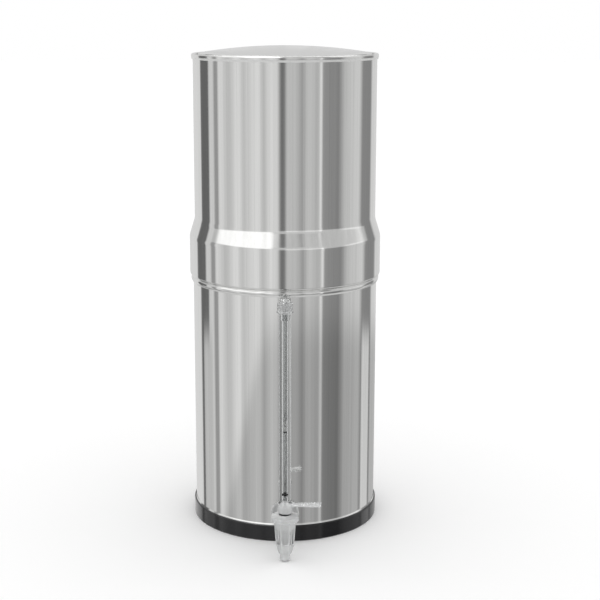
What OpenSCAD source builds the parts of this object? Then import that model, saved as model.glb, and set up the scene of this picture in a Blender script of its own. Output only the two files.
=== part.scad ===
// Gravity water filter: an upper steel chamber with filter candles drains into a lower one,
// which has a plastic tap with a sight tube. Millimetres, +Z up, front towards -Y.
// The origin is the centre of the foot, on the floor.

/* [Chambers] */
// Outer radius of the lower chamber's wall
lower_r = 129.7; // [120:0.1:140]
// Height of the lower chamber's wall, from the ring's lip to its mouth
lower_h = 418; // [390:1:450]
// Thickness of the steel sheet
sheet_t = 1; // [0.8:0.1:1.2]
// How far the upper wall is set in from the lower wall
upper_set_in = 2.7; // [2.2:0.1:4]
// Height of the upper wall above the shoulder
upper_h = 225.8; // [215:0.1:260]

/* [Shoulder and skirt] */
// Gap between the lower wall and the inside of the skirt
skirt_gap = 3.7; // [3:0.1:5]
// Height of the sloping shoulder
shoulder_h = 23.5; // [18:0.5:30]
// Height of the skirt, from the shoulder to the neck of its hem
skirt_h = 56.5; // [45:0.5:62]
// Height of the rolled hem under the skirt
hem_h = 8.5; // [7:0.1:10]
// Radius of the hem's rounded face
hem_bulge_r = 6; // [5.5:0.1:8]
// Gap between the lower wall and the hem
hem_gap = 0.6; // [0.4:0.1:0.9]
// Radius of the bends at the shoulder
shoulder_bend_r = 7; // [4:0.5:9]

/* [Lower mouth and floor] */
// Thickness of the folded hem at the lower chamber's mouth
mouth_t = 2; // [1.6:0.1:2.4]
// Height of that folded hem
mouth_h = 9; // [5:0.5:14]
// Depth of the flange round the lower floor
floor_flange_h = 10; // [8:0.5:12]
// Radius of the bend between floor and flange
floor_bend_r = 4; // [2.5:0.5:6]

/* [Foot ring] */
// Height of the rubber ring
ring_h = 23; // [18:0.5:26]
// Thickness of the ring's wall
ring_t = 2.8; // [2:0.1:4]
// Thickness of the ring's lip, under the wall
ring_lip_t = 3; // [2:0.5:5]
// Width of that lip
ring_lip_w = 20; // [12:1:30]

/* [Filter pan] */
// Depth of the pan's floor below the shoulder's lower edge
pan_drop = 12; // [10:0.5:20]
// Height of the pan's side
pan_h = 48; // [40:1:60]
// Radius of the bend round the pan's floor
pan_bend_r = 8; // [4:0.5:12]

/* [Candles] */
// Radius of the circle that the candles stand on
candle_circle_r = 73.5; // [66:0.5:80]
// Outer radius of a ceramic shell
shell_r = 25; // [20:0.5:28]
// Height of a ceramic shell, with its dome
shell_h = 170; // [120:1:180]
// Wall of a ceramic shell
shell_t = 8; // [5:0.5:10]
// Height of a candle's base
base_h = 13; // [11:0.5:18]
// How far the base stands out past the shell
base_rim = 2.5; // [2:0.1:4]
// Depth of the socket in the base
base_socket = 7; // [4:0.5:8]
// Radius of a candle's stem
stem_r = 6; // [5:0.1:7]
// Length of a candle's stem below its base
stem_h = 30; // [26:0.5:34]
// Thickness of a candle's washer
candle_washer_t = 3; // [2:0.5:4]
// Radius of a candle's washer
candle_washer_r = 16; // [13:0.5:20]
// Radius of a wing nut's hub
nut_r = 10; // [9:0.5:11]
// Height of a wing nut
nut_h = 12; // [9:0.5:14]
// Reach of a wing, from the nut's axis
wing_reach = 20; // [17:0.5:24]
// Thickness of a wing
wing_t = 4; // [3:0.5:5]

/* [Lid] */
// How far the lid's rim stands out past the upper wall
lid_overhang = 2; // [1.8:0.1:3]
// Height of the lid's rim
lid_rim_h = 7.4; // [6.5:0.1:9]
// Rise of the lid's panel
lid_rise = 9.8; // [6:0.1:14]
// Depth of the groove round the panel
lid_groove_h = 10.5; // [9:0.5:13]
// Width of that groove
lid_groove_w = 5; // [4.4:0.1:7]
// Gap between the groove's wall and the inside of the chamber
lid_gap = 0.4; // [0.3:0.1:0.6]

/* [Tap] */
// Height of the shank's axis above the floor
tap_z = 42.4; // [42:0.2:48]
// Reach of the valve's axis, from the front of the wall
tap_reach = 68; // [62:0.5:80]
// Radius of the threaded shank
shank_r = 8; // [7.4:0.1:8.6]
// Length of the shank inside the wall
shank_in = 26; // [22:0.5:32]
// Radius of the water way through the shank
way_r = 4; // [3:0.1:4.6]
// Radius of the flange
flange_r = 19.3; // [17:0.1:20]
// Thickness of the flange
flange_t = 3.5; // [2.5:0.1:5]
// Radius of the neck between flange and barrel
neck_r = 10; // [9.2:0.1:10.6]
// Radius of the outer and inner washers
washer_r = 16.5; // [14:0.1:17]
// Thickness of a washer at its middle
washer_t = 2; // [1.5:0.1:3]
// Width of the nut across its flats
tap_nut_w = 26; // [23:0.5:30]
// Height of the nut
tap_nut_h = 11; // [8:0.5:14]
// Width of the nut's collar past its flats
tap_nut_rim = 2; // [1:0.5:3]
// Thickness of the nut's collar
tap_nut_rim_t = 3; // [2:0.5:4]

/* [Tap barrel] */
// Width of the barrel's shoulder across its flats
crown_w = 36; // [32:0.5:38]
// Width of the barrel across its flats, under the shoulder
barrel_w = 28.8; // [27:0.1:31]
// Width of the barrel across its flats, at its foot
barrel_foot_w = 24.4; // [21:0.1:26]
// Width across the flats where the nozzle leaves
spout_w = 16.4; // [15.5:0.1:19]
// Height from the shank's axis to the top of the barrel
barrel_up = 23.6; // [22:0.1:27]
// Height of the slope at the top of the shoulder
crown_slope_h = 2.2; // [1:0.1:3]
// Height of the shoulder's upright band
crown_band_h = 4.8; // [3:0.1:6]
// Height of the taper under that band
crown_taper_h = 3.4; // [2:0.1:5]
// Depth from the shank's axis to the barrel's foot
barrel_down = 18.2; // [16:0.1:20]
// Height of the cone under the barrel
spout_h = 13; // [9:0.1:14]
// Radius of the nozzle
nozzle_r = 6.9; // [6:0.1:7.4]
// Length of the nozzle
nozzle_h = 9; // [5:0.1:9]
// Depth of the panels in the barrel's flats
panel_t = 0.8; // [0.4:0.1:1]
// Width of those panels
panel_w = 7.6; // [5:0.1:8.4]

/* [Valve] */
// Radius of the valve plug
plug_r = 8.2; // [7.6:0.1:8.4]
// Depth of the plug below the shank's axis
plug_down = 14; // [12:0.5:15]
// Running clearance of the plug in the barrel, and of the other fits
fit_gap = 0.05; // [0.02:0.01:0.08]
// Thickness of the O-rings
o_ring_t = 2.2; // [1.8:0.1:2.6]
// Width of the plug's square stem
stem_w = 8; // [6.5:0.1:8.4]
// Length of that stem
stem_up = 10; // [7:0.5:11]

/* [Lever] */
// Width of the lever's cap across its flats
cap_w = 17.6; // [17:0.1:20]
// Width of the cap's top across its flats
cap_top_w = 8; // [6:0.1:12]
// Height of the cap's upright part
cap_h = 9.2; // [8:0.1:11]
// Height of the slope on the cap
cap_slope_h = 5.6; // [3.5:0.1:7]
// Reach of the lever from the valve's axis
lever_reach = 48; // [40:0.5:56]
// Width of the lever
lever_w = 9; // [6.5:0.5:11]
// Thickness of the lever at its root
lever_root_t = 4.4; // [3.5:0.1:6]
// Thickness of the lever at its end
lever_end_t = 6.6; // [4.5:0.1:8]
// Radius of the hollow under the lever's root
lever_hollow_r = 6; // [3:0.5:6]
// Radius of the ribs across the lever
rib_r = 1.5; // [1:0.1:1.8]
// Number of those ribs
rib_count = 8; // [5:1:9]

/* [Sight tube] */
// Reach of the tube's axis, from the front of the wall
tube_reach = 22.3; // [20:0.1:26]
// Outer radius of the tube
tube_r = 8; // [7:0.1:8.4]
// Radius of the tube's bore
bore_r = 2.8; // [2.4:0.1:3.4]
// How far the tube's cap reaches up past the foot of the upper chamber's hem
cap_past_hem = 3.6; // [0:0.1:10]
// Outer radius of the tube's socket on the neck
socket_r = 10.6; // [10.2:0.1:11.4]
// Height of the socket's rim above the shank's axis
socket_up = 21.6; // [17:0.1:24]
// Depth of the socket
socket_depth = 11; // [8:0.5:12]
// Height of the seat's point above the socket's floor
seat_up = 21.4; // [16:0.1:26]
// Height of the seat's cone
seat_h = 4.4; // [3:0.1:6]
// Radius of the water way through the seat
seat_way_r = 0.8; // [0.6:0.1:1.2]

/* [Tube cap] */
// Radius of the cap's collar
collar_r = 10.4; // [9.6:0.1:11]
// Height of the collar
collar_h = 15; // [12:0.5:18]
// How far the bead stands out round the collar's foot
collar_bead = 0.8; // [0.4:0.1:1.2]
// Height of that bead
collar_bead_h = 4; // [2:0.1:5]
// Depth of the tube's end in the collar
collar_depth = 11; // [8:0.5:12]
// Radius of the cap's plug
cap_plug_r = 4; // [3.8:0.1:4.6]
// Length of the plug below the collar
cap_plug_h = 9; // [6:0.5:12]
// Radius of the dome on the cap
dome_r = 7; // [5:0.1:8]
// Height of the dome
dome_h = 5; // [3:0.1:6]
// Radius of the cap's vent
vent_r = 0.8; // [0.5:0.1:1]

/* [Float] */
// Height of the float's foot above the seat
float_up = 86.2; // [20:0.1:125]
// Radius of the float
float_r = 2.45; // [2:0.05:2.5]
// Length of the float above its band
float_h = 15.6; // [10:0.1:24]
// Height of the float's band
band_h = 2; // [1.5:0.1:3]

/* [Hidden] */

$fn = 96;
// Overrun of a cut past the face that it leaves by
cut = 1;
// Points along a bend, and along a dome
bend_steps = 5;
dome_steps = 12;
// Steps round the wall where a washer takes its curve
wall_steps = 256;

// Chambers
wall_z = ring_lip_t;
mouth_z = wall_z + lower_h;
lower_inner_r = lower_r - sheet_t;
mouth_round = 0.8;
upper_r = lower_r - upper_set_in;
upper_inner_r = upper_r - sheet_t;
skirt_r = lower_r + skirt_gap + sheet_t;
// The mouth meets the inside of the shoulder's slope with this gap, square to the slope
seat_gap = 0.3;
shoulder_slope = atan2(shoulder_h, skirt_r - upper_r);
shoulder_z = mouth_z - (skirt_gap + sheet_t) * tan(shoulder_slope)
    + (sheet_t + seat_gap) / cos(shoulder_slope);
shoulder_top_z = shoulder_z + shoulder_h;
rim_z = shoulder_top_z + upper_h;
// The hem hangs under the skirt: a hollow neck, then a rounded face from this share of its arc
hem_face_share = 0.8;
hem_half_angle = asin(min(1, hem_h / 2 / hem_bulge_r));
hem_neck_r = lower_r + hem_gap + sheet_t * cos(hem_half_angle);
hem_z = shoulder_z - skirt_h - hem_h;
hem_bend_r = 2.2;
// The neck's own bend keeps the sheet's inner side off the wall
neck_bend_r = 0.8;
hem_turn_h = 2.6;

// Pan
pan_z = shoulder_z - pan_drop;
pan_floor_z = pan_z + sheet_t;

// Candles, four as their nodes name them
candle_count = 4;
candle_places = [for (i = [0 : candle_count - 1]) 45 + 360 / candle_count * i];
washer_z = pan_floor_z;
base_z = washer_z + candle_washer_t;
shell_z = base_z + base_h - base_socket;
shell_inner_r = shell_r - shell_t;
candle_gap = 0.3;
stem_bore_r = stem_r / 2;
stem_hole_r = stem_r + 0.5 * candle_gap;
wing_h = 1.2 * nut_h;

// Lid
lid_t = 1;
lid_r = upper_r + lid_overhang;
lid_step_r = upper_inner_r - lid_gap - lid_t;
lid_groove_r = lid_step_r - lid_groove_w;
lid_rest_gap = 0.5;
lid_top_z = rim_z + lid_rest_gap + lid_t;
lid_edge_z = lid_top_z - lid_rim_h;
lid_groove_z = lid_top_z - lid_groove_h;
lid_tuck = 0.7;
groove_bend_r = 1.8;
lid_bend_r = 1.9;

// Tap
valve_y = -(lower_r + tap_reach);
tube_y = -(lower_r + tube_reach);
flange_y = -(lower_r + washer_t);
neck_y = flange_y - flange_t;
washer_in_y = -(lower_inner_r - washer_t);
washer_seat_y = washer_in_y + (lower_inner_r - sqrt(pow(lower_inner_r, 2) - pow(washer_r, 2)));
shank_end_y = -(lower_inner_r - shank_in);
hole_gap = 0.4;
barrel_top_z = tap_z + barrel_up;
crown_z = barrel_top_z - crown_slope_h;
band_z = crown_z - crown_band_h;
taper_z = band_z - crown_taper_h;
barrel_foot_z = tap_z - barrel_down;
spout_z = barrel_foot_z - spout_h;
nozzle_z = spout_z - nozzle_h;
nozzle_wall_t = 1.9;
nozzle_way_r = nozzle_r - nozzle_wall_t;
plug_bore_r = plug_r + fit_gap;
crown_lip_t = 1.5;
crown_top_w = 2 * (plug_bore_r + crown_lip_t);
plug_z = tap_z - plug_down;
panel_foot = 2.2;
panel_head = 5.6;
shank_chamfer = 1;

// Valve
plug_way_r = way_r + 0.4;
o_ring_r = o_ring_t / 2;
o_ring_z = barrel_top_z + o_ring_r + fit_gap;
o_ring_low_up = 5;
o_ring_low_z = plug_z + o_ring_low_up;
plug_groove_r = plug_r - 1.4 * o_ring_r;
plug_neck_r = plug_r - o_ring_t;
plug_top_z = barrel_top_z + o_ring_t + 2 * fit_gap;

// Lever
cap_z = plug_top_z;
cap_slope_z = cap_z + cap_h;
cap_top_z = cap_slope_z + cap_slope_h;
stem_hole_h = stem_up + fit_gap;
lever_mid_z = cap_slope_z + 0.2 * cap_slope_h;
lever_root_x = cap_w / 2 - 0.2 * cap_w;
rib_share = 0.45;
cap_foot_share = 0.96;
lever_root_share = 0.8;

// Sight tube
socket_z = tap_z + socket_up;
tube_z = socket_z - socket_depth;
seat_z = tube_z + seat_up;
cap_top = hem_z + cap_past_hem;
collar_z = cap_top - dome_h - collar_h;
tube_top_z = collar_z + collar_depth;
cap_bore_r = cap_plug_r + fit_gap;
cap_bore_z = collar_z - cap_plug_h - fit_gap;
tube_gap = 0.1;
spigot_r = bore_r - fit_gap;
spigot_share = 0.75;
seat_foot_r = 1.5 * seat_way_r;
seat_head_r = bore_r - 2 * fit_gap;
seat_t = 0.9;
float_z = seat_z + seat_h + float_up;
float_tip_h = 1.6;

// Unit vector along v
function unit(v) = v / norm(v);

// Arc about c with radius r, from angle a0 to angle a1
function arc(c, r, a0, a1, n = bend_steps) =
    [for (i = [0 : n]) let (a = a0 + (a1 - a0) * i / n) c + r * [cos(a), sin(a)]];

// Arc of radius r that rounds the corner at b between a and c
function bend(a, b, c, r, n = bend_steps) =
    let (
        u = unit(a - b),
        v = unit(c - b),
        half = acos(u * v) / 2,
        centre = b + unit(u + v) * r / sin(half),
        from = b + u * r / tan(half) - centre,
        to = b + v * r / tan(half) - centre,
        a0 = atan2(from[1], from[0]),
        turn = atan2(cross(from, to), from * to)
    )
    arc(centre, r, a0, a0 + turn, n);

// Open line through the points [x, y, radius], each rounded by its radius
function line_through(p) = [
    for (i = [0 : len(p) - 1])
        let (here = [p[i][0], p[i][1]])
        each (p[i][2] == 0 ? [here]
            : bend([p[i - 1][0], p[i - 1][1]], here, [p[i + 1][0], p[i + 1][1]], p[i][2]))
];

// The line moved by t to the right of its own direction, never past the axis
function beside(p, t) = [
    for (i = [0 : len(p) - 1])
        let (
            k = max(i, 1),
            m = min(i, len(p) - 2),
            before = unit(p[k] - p[k - 1]),
            after = unit(p[m + 1] - p[m]),
            mean = unit(before + after),
            q = p[i] + t / (mean * before) * [mean[1], -mean[0]]
        )
        [max(0, q[0]), q[1]]
];

// Outline of a sheet of thickness t that lies to the right of the line p
function sheet(p, t) = let (q = beside(p, t)) concat(p, [for (i = [len(q) - 1 : -1 : 0]) q[i]]);

// Solid turned from an outline in [radius, height]
module turned(outline) rotate_extrude() polygon(outline);

// Eight-sided solid whose flats follow the outline p, in [half width, height], with one to the front
module eight_sided(p) {
    widest = max([for (q = p) q[0]]);
    intersection_for (i = [0 : 3])
        rotate([90, 0, 45 * i])
            linear_extrude(height = 3 * widest, center = true)
                polygon(concat(p, [for (k = [len(p) - 1 : -1 : 0]) [-p[k][0], p[k][1]]]));
}

// Places its children at the valve's axis, at height z
module at_valve(z) translate([0, valve_y, z]) children();

// Places its children at the sight tube's axis, at height z
module at_tube(z) translate([0, tube_y, z]) children();

// Places its children along the shank, from y towards the front, with their +Z to the front
module along_shank(y) translate([0, y, tap_z]) rotate([90, 0, 0]) children();

// Places its children on candle i's axis, at height z
module at_candle(i, z)
    rotate([0, 0, candle_places[i - 1]]) translate([candle_circle_r, 0, z]) children();

// Ring with a hole
module ring(r, hole, h)
    difference() {
        cylinder(h = h, r = r);
        translate([0, 0, -cut]) cylinder(h = h + 2 * cut, r = hole);
    }

// O-ring of thickness t whose hole has radius r, with its middle at the origin
module o_ring(r, t) rotate_extrude() translate([r + t / 2, 0]) circle(d = t, $fn = 24);

module base_ring() color([0.05, 0.05, 0.055]) {
    lip_r = lower_r - ring_lip_w;
    top_round = 0.45 * ring_t;
    foot_round = 0.6 * ring_t;
    turned(concat(
        [[lip_r, 0]],
        arc([lower_r + ring_t - foot_round, foot_round], foot_round, -90, 0),
        arc([lower_r + ring_t - top_round, ring_h - top_round], top_round, 0, 90),
        [[lower_r, ring_h], [lower_r, ring_lip_t], [lip_r, ring_lip_t]]
    ));
}

module lower_floor() color([0.72, 0.72, 0.71])
    turned(sheet(line_through([
        [0, wall_z + floor_flange_h, 0],
        [lower_inner_r, wall_z + floor_flange_h, floor_bend_r],
        [lower_inner_r, wall_z, 0]
    ]), sheet_t));

module lower_wall() color([0.76, 0.76, 0.75])
    difference() {
        turned(concat(
            [[lower_r, wall_z]],
            arc([lower_r - mouth_round, mouth_z - mouth_round], mouth_round, 0, 90),
            [
                [lower_r - mouth_t, mouth_z],
                [lower_r - mouth_t, mouth_z - mouth_h],
                [lower_inner_r, mouth_z - mouth_h],
                [lower_inner_r, wall_z]
            ]
        ));
        along_shank(-lower_inner_r + washer_r) cylinder(h = 2 * washer_r, r = shank_r + hole_gap);
    }

// Outside of the tap: shank with a lead-in, flange, neck, socket, barrel and nozzle
module tap_outside() {
    along_shank(shank_end_y) {
        translate([0, 0, shank_chamfer])
            cylinder(h = shank_end_y - shank_chamfer - neck_y, r = shank_r);
        cylinder(h = shank_chamfer, r1 = shank_r - shank_chamfer, r2 = shank_r);
    }
    along_shank(flange_y) cylinder(h = flange_t, r = flange_r);
    along_shank(neck_y) cylinder(h = neck_y - valve_y, r = neck_r);
    at_tube(tap_z) cylinder(h = socket_up, r = socket_r);
    at_valve(0) {
        difference() {
            eight_sided([
                [spout_w / 2, spout_z],
                [barrel_foot_w / 2, barrel_foot_z],
                [barrel_w / 2, taper_z],
                [crown_w / 2, band_z],
                [crown_w / 2, crown_z],
                [crown_top_w / 2, barrel_top_z]
            ]);
            for (i = [0 : 7]) rotate([0, 0, 45 * i]) panel();
        }
        translate([0, 0, nozzle_z]) cylinder(h = nozzle_h + cut, r = nozzle_r);
    }
}

module tap_body() color([0.86, 0.88, 0.88, 0.5])
    difference() {
        union() {
            difference() {
                tap_outside();
                // Bore for the plug, the nozzle's way, the shank's way and the socket
                at_valve(plug_z) cylinder(h = barrel_top_z - plug_z + cut, r = plug_bore_r);
                at_valve(nozzle_z - cut) cylinder(h = plug_z - nozzle_z + 2 * cut, r = nozzle_way_r);
                along_shank(shank_end_y + cut) cylinder(h = shank_end_y + cut - valve_y, r = way_r);
                at_tube(tube_z) cylinder(h = socket_depth + cut, r = tube_r + tube_gap);
            }
            at_tube(0) spigot();
        }
        // Way up from the shank into the sight tube
        at_tube(tap_z) cylinder(h = seat_z - tap_z + cut, r = seat_way_r);
    }

// Shallow panel with a round head, in the front flat of the barrel
module panel() {
    panel_h = taper_z - barrel_foot_z - panel_foot - panel_head;
    lean = atan2((barrel_w - barrel_foot_w) / 2, taper_z - barrel_foot_z);
    translate([0, -barrel_foot_w / 2 + panel_t, barrel_foot_z + panel_foot]) rotate([90 + lean, 0, 0]) {
        translate([-panel_w / 2, 0, 0]) cube([panel_w, panel_h, 2 * barrel_w]);
        translate([0, panel_h, 0]) cylinder(h = 2 * barrel_w, r = panel_w / 2);
    }
}

// Soft washer that takes the wall's curve on its back
module tap_outer_washer() color([0.9, 0.9, 0.88])
    difference() {
        along_shank(-lower_r + washer_r) ring(washer_r, shank_r + tube_gap, washer_t + washer_r);
        translate([0, 0, wall_z]) cylinder(h = lower_h, r = lower_r, $fn = wall_steps);
    }

module tap_inner_washer() color([0.9, 0.9, 0.88])
    intersection() {
        along_shank(washer_seat_y) ring(washer_r, shank_r + tube_gap, lower_r);
        translate([0, 0, wall_z]) cylinder(h = lower_h, r = lower_inner_r, $fn = wall_steps);
    }

module tap_nut() color([0.93, 0.93, 0.91])
    along_shank(washer_seat_y + tap_nut_h)
        difference() {
            union() {
                cylinder(h = tap_nut_h, d = tap_nut_w / cos(30), $fn = 6);
                translate([0, 0, tap_nut_h - tap_nut_rim_t])
                    cylinder(h = tap_nut_rim_t, r = tap_nut_w / 2 + tap_nut_rim);
            }
            translate([0, 0, -cut]) cylinder(h = tap_nut_h + 2 * cut, r = shank_r + fit_gap);
        }

module sight_tube() color([0.85, 0.88, 0.88, 0.4])
    at_tube(tube_z)
        difference() {
            cylinder(h = tube_top_z - tube_z, r = tube_r);
            translate([0, 0, -cut]) cylinder(h = tube_top_z - tube_z + 2 * cut, r = bore_r);
            translate([0, 0, cap_bore_z - tube_z])
                cylinder(h = tube_top_z - cap_bore_z + cut, r = cap_bore_r);
        }

// Funnel in the head of the spigot
module tube_seat() color([0.06, 0.06, 0.065])
    at_tube(seat_z)
        turned([
            [seat_way_r, 0],
            [seat_foot_r, 0],
            [seat_head_r, seat_h],
            [seat_head_r - seat_t, seat_h],
            [seat_way_r, seat_t]
        ]);

// Spigot that stands in the foot of the tube's bore, with a hollow head for the seat
module spigot()
    turned([
        [0, tube_z - cut],
        [spigot_r, tube_z - cut],
        [spigot_r, seat_z + spigot_share * seat_h],
        [seat_foot_r + spigot_share * (seat_head_r - seat_foot_r), seat_z + spigot_share * seat_h],
        [seat_foot_r, seat_z],
        [0, seat_z]
    ]);

module tap_lever() color([0.88, 0.9, 0.9, 0.5])
    at_valve(0)
        difference() {
            union() {
                eight_sided([
                    [cap_foot_share * cap_w / 2, cap_z],
                    [cap_w / 2, cap_slope_z],
                    [cap_top_w / 2, cap_top_z]
                ]);
                lever_arm();
            }
            translate([-stem_w / 2 - fit_gap, -stem_w / 2 - fit_gap, cap_z - cut])
                cube([stem_w + 2 * fit_gap, stem_w + 2 * fit_gap, stem_hole_h + cut]);
        }

// Lever: a side view with a hollow under its root, cut to its plan and ribbed across its top
module lever_arm() {
    top_root = lever_mid_z + lever_root_t / 2;
    foot_root = lever_mid_z - lever_root_t / 2;
    top_end = lever_mid_z + lever_end_t / 2;
    foot_end = lever_mid_z - lever_end_t / 2;
    hollow_x = cap_w / 2 + lever_hollow_r;
    rib_x0 = cap_w / 2 + rib_share * cap_w;
    rib_step = (lever_reach - rib_r - rib_x0) / (rib_count - 1);
    rise = (top_end - top_root) / (lever_reach - lever_root_x);
    // Half the lever's width at x
    function half_w(x) = lever_w / 2 * (lever_root_share + (1 - lever_root_share) * x / lever_reach);
    intersection() {
        translate([0, lever_w / 2, 0]) rotate([90, 0, 0]) linear_extrude(height = lever_w)
            polygon(concat(
                [[lever_root_x, top_root], [lever_root_x, foot_root - lever_hollow_r]],
                arc([hollow_x, foot_root - lever_hollow_r], lever_hollow_r, 180, 90),
                [[lever_reach, foot_end], [lever_reach, top_end]]
            ));
        translate([0, 0, cap_z]) linear_extrude(height = 2 * cap_h + cap_slope_h)
            polygon(concat(
                [[0, -lever_root_share * lever_w / 2]],
                arc([lever_reach - lever_w / 4, -lever_w / 4], lever_w / 4, -90, 0),
                arc([lever_reach - lever_w / 4, lever_w / 4], lever_w / 4, 0, 90),
                [[0, lever_root_share * lever_w / 2]]
            ));
    }
    for (i = [0 : rib_count - 1])
        let (x = rib_x0 + rib_step * i, half = half_w(x) - rib_r / 2)
        translate([x, half, top_root + rise * (x - lever_root_x) - rib_r / 2])
            rotate([90, 0, 0]) cylinder(h = 2 * half, r = rib_r, $fn = 24);
}

module valve_plug() color([0.92, 0.93, 0.93, 0.6])
    at_valve(0)
        difference() {
            union() {
                turned([
                    [0, plug_z + fit_gap],
                    [plug_r, plug_z + fit_gap],
                    [plug_r, o_ring_low_z - o_ring_r],
                    [plug_groove_r, o_ring_low_z - o_ring_r],
                    [plug_groove_r, o_ring_low_z + o_ring_r],
                    [plug_r, o_ring_low_z + o_ring_r],
                    [plug_r, barrel_top_z],
                    [plug_neck_r, barrel_top_z],
                    [plug_neck_r, plug_top_z],
                    [0, plug_top_z]
                ]);
                translate([-stem_w / 2, -stem_w / 2, plug_top_z]) cube([stem_w, stem_w, stem_up]);
            }
            // Way up from the nozzle, and the side port that faces away from the lever
            translate([0, 0, plug_z]) cylinder(h = plug_down, r = plug_way_r);
            translate([0, 0, tap_z]) rotate([0, -90, 0]) cylinder(h = plug_r + cut, r = plug_way_r);
            translate([0, 0, tap_z]) sphere(r = plug_way_r);
        }

// One ring under the cap, which shows, and one in the plug's groove
module valve_o_rings() color([0.04, 0.04, 0.045])
    at_valve(0) {
        translate([0, 0, o_ring_z]) o_ring(plug_neck_r + fit_gap, o_ring_t);
        translate([0, 0, o_ring_low_z]) o_ring(plug_groove_r + fit_gap, plug_r - plug_groove_r - fit_gap);
    }

module tube_cap() color([0.88, 0.9, 0.9, 0.5])
    at_tube(0)
        difference() {
            union() {
                turned(concat(
                    [[tube_r + tube_gap, collar_z]],
                    line_through([
                        [collar_r, collar_z, 0],
                        [collar_r + collar_bead, collar_z + 0.3 * collar_bead_h, 0],
                        [collar_r + collar_bead, collar_z + 0.7 * collar_bead_h, 0],
                        [collar_r, collar_z + collar_bead_h, 0],
                        [collar_r, collar_z + collar_h, 0.1 * collar_r],
                        [dome_r, collar_z + collar_h, 0]
                    ]),
                    [
                        [0, collar_z + collar_h],
                        [0, tube_top_z + tube_gap],
                        [tube_r + tube_gap, tube_top_z + tube_gap]
                    ]
                ));
                translate([0, 0, cap_bore_z + fit_gap])
                    cylinder(h = tube_top_z + tube_gap - cap_bore_z + cut, r = cap_plug_r);
                dome();
            }
            translate([0, 0, cap_bore_z - cut]) cylinder(h = cap_top + 2 * cut - cap_bore_z, r = vent_r);
        }

// Round cap of height dome_h and radius dome_r, from a ball
module dome() {
    ball_r = (pow(dome_r, 2) + pow(dome_h, 2)) / 2 / dome_h;
    start = asin((ball_r - dome_h) / ball_r);
    turned(concat(
        [[0, cap_top - dome_h - cut], [dome_r, cap_top - dome_h - cut]],
        arc([0, cap_top - ball_r], ball_r, start, 90, dome_steps)
    ));
}

module level_float() color([0.95, 0.95, 0.93])
    at_tube(float_z + band_h)
        turned([
            [0, 0],
            [float_r, 0],
            [float_r, float_h - float_tip_h],
            [float_r - float_tip_h, float_h],
            [0, float_h]
        ]);

module float_band() color([0.06, 0.06, 0.065]) at_tube(float_z) cylinder(h = band_h, r = float_r);

module upper_chamber() color([0.78, 0.78, 0.77]) {
    face = arc([hem_neck_r - hem_bulge_r * cos(hem_half_angle), hem_z + hem_h / 2],
        hem_bulge_r, hem_face_share * hem_half_angle, -hem_half_angle, 2 * bend_steps);
    turned(sheet(concat(
        line_through([
            [upper_r, rim_z, 0],
            [upper_r, shoulder_top_z, shoulder_bend_r],
            [skirt_r, shoulder_z, shoulder_bend_r],
            [skirt_r, hem_z + hem_h + hem_turn_h, hem_bend_r],
            [hem_neck_r, hem_z + hem_h, neck_bend_r],
            [face[0][0], face[0][1], 0]
        ]),
        [for (i = [1 : len(face) - 1]) face[i]]
    ), sheet_t));
}

module filter_pan() color([0.74, 0.74, 0.73])
    difference() {
        turned(sheet(line_through([
            [upper_inner_r, pan_z + pan_h, 0],
            [upper_inner_r, pan_z, pan_bend_r],
            [0, pan_z, 0]
        ]), sheet_t));
        for (i = [1 : candle_count])
            at_candle(i, pan_z - cut) cylinder(h = sheet_t + 2 * cut, r = stem_hole_r);
    }

module candle_washers() color([0.92, 0.92, 0.9])
    for (i = [1 : candle_count])
        at_candle(i, washer_z) ring(candle_washer_r, stem_hole_r, candle_washer_t);

// Wing nut, with its top face against the pan
module candle_nuts() color([0.93, 0.93, 0.91])
    for (i = [1 : candle_count])
        at_candle(i, pan_z)
            difference() {
                union() {
                    translate([0, 0, -nut_h]) cylinder(h = nut_h, r = nut_r);
                    translate([-wing_reach + wing_h / 2, -wing_t / 2, -wing_h])
                        cube([2 * wing_reach - wing_h, wing_t, 0.8 * wing_h]);
                    for (side = [-1, 1])
                        translate([side * (wing_reach - wing_h / 2), wing_t / 2, -0.6 * wing_h])
                            rotate([90, 0, 0]) cylinder(h = wing_t, r = 0.4 * wing_h);
                }
                translate([0, 0, -wing_h - cut]) cylinder(h = wing_h + 2 * cut, r = stem_r + fit_gap);
            }

// Base of one candle: a cup for the shell, with a hollow stem through the pan
module candle_base(i) color([0.95, 0.95, 0.94])
    at_candle(i, base_z)
        difference() {
            union() {
                turned([
                    [0, 0],
                    [shell_r + base_rim - 0.1 * base_h, 0],
                    [shell_r + base_rim, 0.1 * base_h],
                    [shell_r + base_rim, 0.85 * base_h],
                    [shell_r + 0.4 * base_rim, base_h],
                    [shell_r + candle_gap, base_h],
                    [shell_r + candle_gap, base_h - base_socket],
                    [0, base_h - base_socket]
                ]);
                translate([0, 0, -stem_h]) cylinder(h = stem_h + 0.2 * base_h, r = stem_r);
            }
            translate([0, 0, -stem_h - cut]) cylinder(h = stem_h + base_h + cut, r = stem_bore_r);
        }

// Ceramic shell of one candle: a straight wall under a dome
module candle_shell(i) color([0.95, 0.94, 0.9])
    at_candle(i, shell_z)
        turned(concat(
            [[shell_inner_r, 0], [shell_r, 0]],
            arc([0, shell_h - shell_r], shell_r, 0, 90, dome_steps),
            arc([0, shell_h - shell_r], shell_inner_r, 90, 0, dome_steps)
        ));

// Carbon filling of one candle
module candle_core(i) color([0.1, 0.1, 0.1])
    at_candle(i, shell_z)
        turned(concat(
            [[0, 0], [shell_inner_r - candle_gap, 0]],
            arc([0, shell_h - shell_r], shell_inner_r - candle_gap, 0, 90, dome_steps)
        ));

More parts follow.
